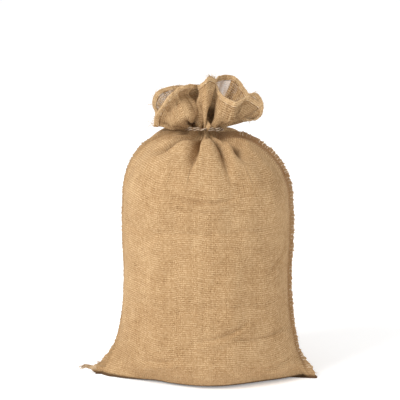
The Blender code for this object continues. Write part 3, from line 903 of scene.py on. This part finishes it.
mouth_net = np.array([(1 - v) ** 2 * neck_ring + 2 * v * (1 - v) * bend + v**2 * rim_points for v in mouth_rows])
mouth_net += np.array([BODY_SHIFT + NECK_SHIFT, 0, TIE_HEIGHT])

v_of = mouth_rows[:, None]
mouth_net[:, :, 2] -= NECK_TILT * rear_y[None, :] * (1 - smooth(v_of / REAR_TILT_ENDS))
rim_way = way_along(rim_points)


def rim_noise(size, seed):
    """Smooth noise along the rim, with swellings of about this size."""
    return np.array([noise.noise(Vector((way / size, seed, 0))) for way in rim_way])


RIM_WAVES = (
    # how far out, size along the rim, seed, where along the line they start
    (0.0062, 0.021, 1.7, 0.12),
    (0.0028, 0.0085, 5.2, 0.20),
)
FOLD_COUNT, FOLD_SHARPNESS, FOLD_DEPTH = 18, 2.4, 0.0225
sway = 0.55 * np.sin(2 * turn + 0.6) + 0.35 * np.sin(5 * turn + 1.9)
valley = (0.5 + 0.5 * np.cos(FOLD_COUNT * turn + sway * 2.2 + 2.34)) ** FOLD_SHARPNESS
valley_depth = FOLD_DEPTH * (0.88 + 0.22 * np.sin(4 * turn + 2.2))
mouth_normals = normals_of(mouth_net)
lobes = between(mouth_bearing, 98, 178, 8) + between(mouth_bearing, 14, 74, 8)
inner_fade = 1 - smooth((v_of - 0.30 + 0.20 * lobes) / (0.68 - 0.33 * lobes))
mouth_relief = -(valley * valley_depth)[None, :] * inner_fade * (0.70 + 0.30 * smooth(v_of / 0.08))
for out, size, seed, start in RIM_WAVES:
    mouth_relief += out * rim_noise(size, seed)[None, :] * smooth((v_of - start) / 0.5)
mouth_relief += 0.0026 * field(mouth_net, 0.026, 5.5) * smooth((v_of - 0.1) / 0.3)
FORMS = (
    # rim_x_from, rim_x_to, height along the line, half length along it, how far out
    (-0.100, -0.022, 0.40, 0.17, 0.0150),
    (-0.046, -0.012, 0.78, 0.12, -0.0170),
    (-0.085, -0.050, 0.70, 0.12, -0.0090),
    (-0.095, -0.030, 0.97, 0.06, 0.0040),
    (0.032, 0.086, 0.55, 0.22, 0.0080),
    (0.016, 0.029, 0.27, 0.12, -0.0240),
    (-0.012, 0.018, 0.50, 0.32, 0.0110),
    (0.088, 0.120, 0.60, 0.20, 0.0060),
)
front_lines = (np.arange(len(rim)) <= FRONT_LINES).astype(float)
for rim_from, rim_to, centre, half_length, out in FORMS:
    margin = 0.22 * (rim_to - rim_from)
    across_form = between(rim[:, 0], rim_from, rim_to, 2 * margin, margin)
    mouth_relief += out * (across_form * front_lines)[None, :] * bell(v_of - centre, half_length)
DEEPEST = 0.0130
NECK_FORMS = (
    # forms close above the tie; those that go in also get painted shade, darker the further they go in
    # bearing_from, bearing_to, height along the line, half length along it, how far out
    (116, 144, 0.06, 0.09, -DEEPEST),
    (146, 166, 0.20, 0.14, 0.0050),
    (64, 82, 0.12, 0.12, 0.0150),
    (24, 44, 0.12, 0.10, -0.0060),
)
recess_shade = np.zeros_like(mouth_relief)
for low_bearing, high_bearing, centre, half_length, out in NECK_FORMS:
    across_form = between(mouth_bearing, low_bearing, high_bearing, 6, 3)
    in_form = across_form[None, :] * bell(v_of - centre, half_length)
    mouth_relief += out * in_form
    recess_shade += max(-out, 0.0) / DEEPEST * in_form
mouth_net = mouth_net + mouth_normals * mouth_relief[:, :, None]
mouth_across = np.repeat(rim_way[None, :], len(mouth_rows), axis=0)
mouth_up = way_along(mouth_net)
mouth_up = mouth_up - mouth_up[-1:] + MOUTH_LENGTH
hem_width = HEM_WIDTH * (1 + 0.30 * rim_noise(0.045, 8.8))[None, :]
hem = smooth((mouth_up - (MOUTH_LENGTH - hem_width - 0.0006)) / 0.0010)
# painted shade in a thin line along the hem's inner edge, where the folded cloth stands proud
hem_edge_shade = bell(mouth_up - (MOUTH_LENGTH - hem_width), 0.0011)
gauze = 0.5 + 0.5 * field(mouth_net, 0.030, 30.0) / 0.6
rear_cup = between(rim[:, 0], 0.014, 0.060, 0.008) * (1 - front_lines)
rear_left = smooth((-0.068 - rim[:, 0]) / 0.012) * (1 - front_lines) * smooth((v_of - 0.45) / 0.25)
flap = smooth((rim[:, 0] - 0.045) / 0.010) * front_lines
sheer = np.clip(0.06 + 0.22 * gauze + 0.30 * flap + 0.78 * rear_cup + 0.40 * rear_left, 0, 1)
openness = smooth((v_of - 0.25) / 0.30) * sheer * (1 - hem)
left_lobe = smooth((-0.030 - rim[:, 0]) / 0.020) * front_lines
# the hem is paler, partly for its double cloth and partly as painted light; on the left lobe this is 2.4 times as
# strong
hem_paler_and_painted_light = hem * (1.0 + 1.4 * left_lobe)[None, :]
print("mouth", mouth_net.shape, "hem on", int((hem > 0.5).sum()), "points")

# %% Lay the mouth and give it its thickness
HEM_THICKNESS, CLOTH_SHARE = 0.0032, 0.28
mouth = lay_net("mouth_cloth", mouth_net, mouth_across, mouth_up, hessian_open,
                {"openness": openness, "hem": hem_paler_and_painted_light, "hem_edge_shade": hem_edge_shade, "recess_shade": recess_shade})
group = mouth.vertex_groups.new(name="hem")
hem_at = {tuple(round(float(c), 5) for c in mouth_net[row, column]): float(hem[row, column])
          for row in range(len(mouth_rows)) for column in range(len(rim))}
for vert in mouth.data.vertices:
    group.add([vert.index], hem_at.get(tuple(round(c, 5) for c in vert.co), 0.0), "REPLACE")
thick = mouth.modifiers.new("cloth", "SOLIDIFY")
thick.thickness, thick.offset = HEM_THICKNESS, 0.0
thick.vertex_group, thick.thickness_vertex_group = "hem", CLOTH_SHARE
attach(mouth, "root")
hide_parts("sack")

# %% [markdown]
# ## Twine round the neck
# The tie is jute twine: two yarns twisted round each other, wound twice round the neck and knotted behind. A yarn is
# a tube along a helix that follows the route, so the twist is real and catches the light. A curve with a round bevel
# is the natural tool for a yarn: it needs only the route, and it keeps its thickness.

# %% Two turns of twisted twine
TWINE_CROSSING = math.radians(26)
TWINE_LIFT = TWINE_DIAMETER + 0.0006
TWIST_PITCH = 0.0165
ROUND_NECK, IN_KNOT, CUT_END = 1.04, 0.98, 1.06  # twist loose round the neck, tight in the knot; cut ends swell


def twine_centre(share):
    """The middle of the twine after this share of its two turns."""
    lap, step = divmod(share * 2 + 0.5, 1.0)
    from_front = 2 * math.pi * (step - 0.5)
    passed = float(smooth(0.5 + 0.5 * from_front / TWINE_CROSSING))
    second = int(lap) % 2 == 1
    level = passed if second else 1 - passed
    over = TWINE_LIFT * math.exp(-((1.6 * from_front / TWINE_CROSSING) ** 2)) if second else 0.0
    radius = TWINE_CLEARANCE + 0.5 * TWINE_DIAMETER + over
    bearing = from_front - 0.5 * math.pi
    wander = 0.0005 * noise.noise(Vector((from_front * 2.3, int(lap) % 2 * 5.0, 0.0)))
    y = (NECK_HALF_DEPTH + radius) * math.sin(bearing)
    return Vector((BODY_SHIFT + NECK_SHIFT + (NECK_HALF_WIDTH + radius) * math.cos(bearing), y,
                   TIE_HEIGHT + TWINE_PITCH * (level - 0.5) + wander - NECK_TILT * y))


def curve_piece(name, routes, thickness, material, closed=False, thinner=None):
    """One piece of yarn or thread: every route is a spline with a round bevel of this radius."""
    data = bpy.data.curves.new(name, "CURVE")
    data.dimensions = "3D"
    data.bevel_depth = thickness
    data.bevel_resolution = 2
    for number, route in enumerate(routes):
        spline = data.splines.new("POLY")
        spline.points.add(len(route) - 1)
        for k, (point, spot) in enumerate(zip(spline.points, route)):
            point.co = (*spot, 1.0)
            if thinner is not None:
                point.radius = thinner(number, k / max(len(route) - 1, 1))
        spline.use_cyclic_u = closed
        spline.use_smooth = True
    for finish in (material if isinstance(material, tuple) else (material,)):
        data.materials.append(finish)
    for number, spline in enumerate(data.splines):
        spline.material_index = number % len(data.materials)
    return put(name, data)


def twisted(centres, yarn_radius, pitch, phase, closed):
    """A yarn wound round the line of centres."""
    route, travel = [], 0.0
    lengths = [(centres[(k + 1) % len(centres)] - centres[k]).length for k in range(len(centres) - (not closed))]
    total = sum(lengths)
    turns = max(round(total / pitch), 1) if closed else total / pitch
    for k, centre in enumerate(centres):
        before = centres[k - 1] if closed or k else centre
        after = centres[(k + 1) % len(centres)] if closed or k + 1 < len(centres) else centre
        ahead = (after - before).normalized()
        side = ahead.cross(Vector((0, 0, 1))).normalized()
        up = side.cross(ahead)
        angle = 2 * math.pi * turns * travel / total + phase
        route.append(centre + (side * math.cos(angle) + up * math.sin(angle)) * yarn_radius)
        travel += lengths[k] if k < len(lengths) else 0.0
    return route


def jute_yarn(name, dark, light, hair=0.5):
    """Twisted jute: fine fibres along the yarn and broad patches, from a dark to a light colour."""
    r = Recipe(name)
    spot = r.node("ShaderNodeTexCoord").outputs["Object"]
    fibre = r.noise(spot, 900, 3.0, 0.6)
    patch = r.noise(spot, 70, 2.0)
    tone = r.add(r.times(fibre, 0.6), r.times(patch, 0.6))
    r.feed(r.shader.inputs["Base Color"], r.mix(r.ramp(tone, 0.35, 0.85, 0.0, 1.0), dark, light))
    r.surface(Roughness=0.9, Specular_IOR_Level=0.2, Sheen_Weight=0.2)
    r.bump(fibre, hair, 0.0003)
    return r.material


# the second yarn is the same twine painted dark: painted shade for the grooves between the strands
twine_finish = (jute_yarn("jute_twine_pale", (0.30, 0.20, 0.12), (0.86, 0.72, 0.55)),
                jute_yarn("jute_twine_painted_shade", (0.060, 0.030, 0.015), (0.40, 0.26, 0.14)))
TWINE_STEPS = 900
centres = [twine_centre(k / TWINE_STEPS) for k in range(TWINE_STEPS)]
YARN_RADIUS = 0.25 * TWINE_DIAMETER
yarns = [twisted(centres, YARN_RADIUS * ROUND_NECK, TWIST_PITCH, phase, True) for phase in (0.0, math.pi)]
knot_y = NECK_HALF_DEPTH + TWINE_CLEARANCE + 0.0032
knot_middle = Vector((BODY_SHIFT + NECK_SHIFT, knot_y, TIE_HEIGHT - NECK_TILT * knot_y))


def knot_route(count=120):
    """A flat reef knot drawn as a loop that goes twice over and under itself."""
    route = []
    for k in range(count):
        t = 2 * math.pi * k / count
        route.append(knot_middle + Vector((0.0058 * math.sin(t) + 0.0012 * math.sin(3 * t),
                                           0.0016 * math.cos(3 * t), 0.0030 * math.sin(2 * t))))
    return route


def tail_route(side):
    """A cut end of the twine, hanging from the knot against the neck and the shoulder behind."""
    start = knot_middle + Vector((side * 0.004, 0.0010, -0.001))
    route = []
    for k in range(40):
        t = k / 39
        route.append(start + Vector((side * (0.012 * t + 0.006 * math.sin(2.6 * t)),
                                     0.0005 + 0.010 * t * t + 0.002 * t, 0.0015 * math.sin(3.0 * t) - 0.0035 * t)))
    return route


knot_centres, tails = knot_route(), [tail_route(-1), tail_route(1)]
for phase in (0.0, math.pi):
    yarns.append(twisted(knot_centres, YARN_RADIUS * IN_KNOT, TWIST_PITCH, phase, True))
tie = curve_piece("tie_twine", yarns, YARN_RADIUS, twine_finish, closed=True)
ends = [twisted(tail, YARN_RADIUS * IN_KNOT, TWIST_PITCH, phase, False) for tail in tails for phase in (0.0, math.pi)]
tie_ends = curve_piece("tie_ends", ends, YARN_RADIUS * CUT_END, twine_finish)
for piece in (tie, tie_ends):
    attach(piece, "root")
    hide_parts("tie")
print("twine", round(sum((centres[k] - centres[k - 1]).length for k in range(len(centres))), 3), "m in two turns")

# %% [markdown]
# ## Sewn side seams
# Both sides are closed with a coarse overcast stitch: a cream thread goes through both layers, round the cut edge and
# through again a finger's width on. Each stitch here is its own short loop that follows the edge of the net, so the
# stitches sit on the cloth wherever the seam goes. Uneven lengths keep the hand-guided look.

# %% Overcast stitches
STITCH_EVERY, STITCH_RADIUS, STITCHES_FROM = 0.0080, 0.00095, 0.030
STITCH_LEAN, LEAN_VARIES, SPACING_VARIES, MISSED_BELOW = 0.0022, 0.0012, 0.75, -0.12
THREAD_HAIR = 0.35
cream_thread = jute_yarn("cream_thread", (0.42, 0.28, 0.16), (0.88, 0.74, 0.55), THREAD_HAIR)


def overcast(edge, side, seed):
    """The stitches of one seam: little loops from the front of the edge round to the rear."""
    across_edge = list(range(edge.start, edge.stop))[::side]
    rim_column = across_edge[EDGE - 1]
    travel = way_along(body_net[:, rim_column])
    reach_row = len(levels) - len(neck_heights) - 12
    loops, at = [], STITCHES_FROM
    while at < travel[reach_row]:
        chance = noise.noise(Vector((at / 0.011, seed, 0.0)))
        lean = STITCH_LEAN + LEAN_VARIES * chance
        loop = []
        for step, share in enumerate(np.linspace(0, 1, 11)):
            spot_travel = at + lean * (share - 0.5) * 2
            row = float(np.interp(spot_travel, travel, np.arange(len(travel))))
            low_row, part = int(row), row - int(row)
            place = (EDGE - 1.5) + (share - 0.5) * (2 * EDGE - 5)
            left_place, slide = int(place), place - int(place)
            a = across_edge[max(left_place, 0)]
            b = across_edge[min(left_place + 1, len(across_edge) - 1)]
            low_spot = body_net[low_row, a] * (1 - slide) + body_net[low_row, b] * slide
            high = min(low_row + 1, len(levels) - 1)
            high_spot = body_net[high, a] * (1 - slide) + body_net[high, b] * slide
            spot = low_spot * (1 - part) + high_spot * part
            middle = 0.5 * (body_net[low_row, across_edge[2]] + body_net[low_row, across_edge[-3]])
            away = Vector(spot - middle)
            depth = -0.9 if share in (0.0, 1.0) else 0.9
            loop.append(Vector(spot) + away.normalized() * STITCH_RADIUS * depth)
        if noise.noise(Vector((at / 0.017, seed, 4.0))) > MISSED_BELOW:
            loops.append(loop)
        at += STITCH_EVERY * (1 + SPACING_VARIES * chance)
    return loops


right_stitches, left_stitches = overcast(right_edge, 1, 2.0), overcast(left_edge, -1, 9.0)
brown_thread = jute_yarn("brown_thread", (0.22, 0.13, 0.06), (0.62, 0.45, 0.27), THREAD_HAIR)


def uneven(number, share):
    """Some stitches are plump and some are pulled thin."""
    return 0.72 + 0.75 * noise.noise(Vector((number * 1.7, share * 2, 0)))


right_seam = curve_piece("right_seam_stitches", right_stitches, STITCH_RADIUS, cream_thread, thinner=uneven)
left_seam = curve_piece("left_seam_stitches", left_stitches, STITCH_RADIUS * 0.8, brown_thread, thinner=uneven)
for seam in (right_seam, left_seam):
    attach(seam, "root")
print("stitches", len(right_stitches), "right,", len(left_stitches), "left")

# %% [markdown]
# ## Hem stitches
# The rim of the mouth is folded over once and run down with a plain running stitch. It shows as short dashes of
# thread just inside the hem, on both faces of the cloth.

# %% Running stitch of the hem
hem_rows = np.argmin(np.abs(mouth_up - (MOUTH_LENGTH - hem_width + 0.0008)), axis=0)
final_normals = normals_of(mouth_net)
DASH_LINES, DASH_EVERY = 7, 10
dashes = []
for column in range(0, len(rim) - 8, DASH_EVERY):
    if not (FRONT_LINES - 2 < column < FRONT_LINES + 6):
        for face in (1, -1):
            dash = []
            for line in range(column, column + DASH_LINES):
                row = hem_rows[line]
                proud = 0.0002 if line in (column, column + DASH_LINES - 1) else 0.0015
                dash.append(Vector(mouth_net[row, line]) + Vector(final_normals[row, line]) * face * proud)
            dashes.append(dash)
hem_stitches = curve_piece("hem_stitches", dashes, 0.00042, cream_thread)
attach(hem_stitches, "root")
print("hem stitches", len(dashes) // 2)

# %% [markdown]
# ## Fray
# Cut jute lets go of its threads. The lower left corner ends in a twisted tail, loose ends stand off the rim, the
# corners and the seams. Each loose end is a thin curve that starts in the cloth and curls away from it; a seeded dice
# throws their places, so every run gives the same sack.

# %% The twisted tail of the left corner
STRANDS, STRAND_STEPS = 13, 60
dice = np.random.default_rng(41)
fibre_finish = jute_yarn("jute_fibre", (0.30, 0.19, 0.10), (0.66, 0.49, 0.31), THREAD_HAIR)
corner_row = 5
corner = Vector(body_net[corner_row, left_edge.start + EDGE])
TAIL_BENDS = ((0.012, 0.002, 0.001), (0.002, 0.0, 0.0025), (-0.008, -0.001, 0.0050), (-0.014, -0.002, 0.0056),
              (-0.019, -0.003, 0.0030), (-0.023, -0.002, 0.0035), (-0.027, -0.001, 0.0055))
tail_line = [corner + Vector(bend) for bend in TAIL_BENDS]


def through(points, count):
    """Evenly spaced places on a smooth open line through the points."""
    spots = [points[0]] + list(points) + [points[-1]]
    dense = []
    for i in range(len(points) - 1):
        a, b, c, d = spots[i: i + 4]
        dense += [curve_spot(a, b, c, d, step / 12) for step in range(12)]
    dense.append(points[-1])
    return [Vector(spot) for spot in spread_along(np.array(dense), count - 1)]


strands = []
tail_centres = through(tail_line, STRAND_STEPS)
for number in range(STRANDS):
    angle, spread = 2 * math.pi * number / STRANDS, 0.0016 + 0.0024 * dice.random()
    strand = twisted(tail_centres, spread, 0.017, angle, False)
    length = int(STRAND_STEPS * (0.62 + 0.38 * dice.random()))
    curl = Vector(dice.normal(0, 0.0022, 3))
    strands.append([spot + curl * (k / STRAND_STEPS) ** 2.5 for k, spot in enumerate(strand[:length])])
tail = curve_piece("corner_tail", strands, 0.00125, fibre_finish,
                   thinner=lambda number, share: 1.1 - 0.85 * share**1.5)
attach(tail, "root")


# %% Loose threads at the rim, the corners and the seams
def loose(start, out, length, sag, curl, count=9):
    """A loose end that leaves the cloth along out, sags and curls."""
    out = out.normalized()
    twist = Vector(dice.normal(0, 1, 3)) * curl
    return [start - out * 0.001 + out * (length * t) + twist * (length * t * t)
            + Vector((0, 0, -sag * length * t * t)) for t in np.linspace(0, 1, count)]


RIM_ENDS, TUFT_ENDS, SEAM_ENDS, CORNER_ENDS = 150, 26, 150, 14
TUFTS = ((0.0165, 0.008, True), (0.093, 0.012, False), (-0.107, 0.009, False))  # middle, half width, in front only


def out_of_rim(column):
    """The way the cloth runs on at the rim."""
    return Vector(mouth_net[-1, column] - mouth_net[-6, column]).normalized()


threads = []
for _ in range(RIM_ENDS):
    column = int(dice.integers(0, len(rim)))
    sideways = Vector(mouth_net[-1, (column + 1) % len(rim)] - mouth_net[-1, column - 1]).normalized()
    threads.append(loose(Vector(mouth_net[-1, column]), out_of_rim(column) + sideways * dice.normal(0, 0.8),
                         0.003 + 0.006 * dice.random() ** 2, 0.2, 0.5))
for centre_x, half, front_only in TUFTS:
    near = [k for k in range(len(rim)) if abs(rim[k, 0] - centre_x) < half and (k <= FRONT_LINES or not front_only)]
    for _ in range(TUFT_ENDS):
        column = int(dice.choice(near))
        threads.append(loose(Vector(mouth_net[-1, column]), out_of_rim(column) + Vector(dice.normal(0, 0.5, 3)),
                             0.004 + 0.009 * dice.random(), 0.5, 0.7))
for edge, side in ((right_edge, 1), (left_edge, -1)):
    for _ in range(SEAM_ENDS):
        row = int(dice.integers(6, len(levels) - 30))
        column = edge.start + EDGE + int(dice.integers(-2, 2))
        start = Vector(body_net[row, column])
        out = Vector((side * 1.0, dice.normal(0, 0.5), dice.normal(0, 0.9)))
        threads.append(loose(start, out, 0.002 + 0.005 * dice.random() ** 2, 0.3, 0.6))
right_corner = Vector(body_net[5, right_edge.start + EDGE - 1])
for aim, length in (((1, -0.1, 0.35), 0.013), ((0.8, -0.3, 0.8), 0.008), ((1, 0.2, -0.2), 0.006)):
    threads.append(loose(right_corner, Vector(aim), length, 0.3, 0.25))
left_corner = Vector(body_net[8, left_edge.start + EDGE])
for _ in range(CORNER_ENDS):
    start = left_corner + Vector(dice.normal(0, 0.002, 3))
    out = Vector((-1, dice.normal(0, 0.4), dice.normal(0.5, 0.5)))
    threads.append(loose(start, out, 0.003 + 0.006 * dice.random(), 0.2, 0.7))
threads = [[Vector((spot.x, spot.y, max(spot.z, 0.0005))) for spot in thread] for thread in threads]
fray = curve_piece("loose_threads", threads, 0.00034, fibre_finish,
                   thinner=lambda number, share: 1.2 - 0.8 * share)
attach(fray, "root")
print("loose threads", len(threads))

# %% [markdown]
# ## The stage
# A wide pale floor under a pale sky, a broad soft lamp from the front left and a weaker one from the right give the
# even light of a studio. The camera sees the sky brighter than it shines, so the background stays white.

# %% Floor, light and camera
AZIMUTH, ELEVATION, DISTANCE = math.radians(4.5), math.radians(13.5), 4.0
VIEW_WIDTH, PICTURE_WIDTH = 0.8548, 400
LOOK_AT_HEIGHT, SHIFT_UP, SHIFT_LEFT = 0.30, 39.6, 0.2
floor_shape = bmesh.new()
bmesh.ops.create_grid(floor_shape, x_segments=1, y_segments=1, size=60.0)
floor_mesh = bpy.data.meshes.new("floor")
floor_shape.to_mesh(floor_mesh)
floor_shape.free()
floor = put("floor", floor_mesh)
paper = Recipe("pale_paper")
grain = paper.noise(paper.node("ShaderNodeTexCoord").outputs["Object"], 3.0, 2.0)
paper.feed(paper.shader.inputs["Base Color"], paper.mix(grain, (0.97, 0.97, 0.97), (0.985, 0.985, 0.985)))
paper.surface(Roughness=0.9, Specular_IOR_Level=0.1, Emission_Color=(1, 1, 1, 1), Emission_Strength=0.22)
floor_mesh.materials.append(paper.material)

world = bpy.data.worlds.new("studio")
bpy.context.scene.world = world
world.use_nodes = True
SKY_SHINES, SKY_SEEN = 0.78, 1.0
sky = world.node_tree.nodes["Background"]
sky.inputs[0].default_value = (1.0, 1.0, 1.0, 1)
sky.inputs[1].default_value = SKY_SHINES
seen = world.node_tree.nodes.new("ShaderNodeLightPath")
backdrop = world.node_tree.nodes.new("ShaderNodeMapRange")
backdrop.inputs[3].default_value, backdrop.inputs[4].default_value = SKY_SHINES, SKY_SEEN
world.node_tree.links.new(seen.outputs["Is Camera Ray"], backdrop.inputs[0])
world.node_tree.links.new(backdrop.outputs[0], sky.inputs[1])


def soft_lamp(name, place, aim, size, power):
    data = bpy.data.lights.new(name, "AREA")
    data.shape = "SQUARE"
    data.size, data.energy = size, power
    lamp = put(name, data)
    lamp.location = place
    lamp.rotation_euler = (Vector(aim) - Vector(place)).to_track_quat("-Z", "Y").to_euler()


soft_lamp("key", (-2.2, -2.0, 2.8), (0, 0, 0.35), 1.6, 125)
soft_lamp("fill", (2.6, -2.0, 1.2), (0, 0, 0.3), 1.6, 14)

towards = Vector((math.sin(AZIMUTH) * math.cos(ELEVATION), -math.cos(AZIMUTH) * math.cos(ELEVATION),
                  math.sin(ELEVATION)))
upward = Vector((-math.sin(AZIMUTH) * math.sin(ELEVATION), math.cos(AZIMUTH) * math.sin(ELEVATION),
                 math.cos(ELEVATION)))
rightward = Vector((math.cos(AZIMUTH), math.sin(AZIMUTH), 0))
lens_data = bpy.data.cameras.new("camera")
lens_data.sensor_width = 36.0
lens_data.lens = 36.0 * DISTANCE / VIEW_WIDTH
camera = put("camera", lens_data)
pixel = VIEW_WIDTH / PICTURE_WIDTH
camera.location = (Vector((0, 0, LOOK_AT_HEIGHT)) + upward * (SHIFT_UP * pixel) - rightward * (SHIFT_LEFT * pixel)
                   + towards * DISTANCE)
camera.rotation_euler = (-towards).to_track_quat("-Z", "Y").to_euler()
bpy.context.scene.camera = camera
bpy.context.scene.view_settings.view_transform = "Standard"
print("lens", round(lens_data.lens, 1), "mm")
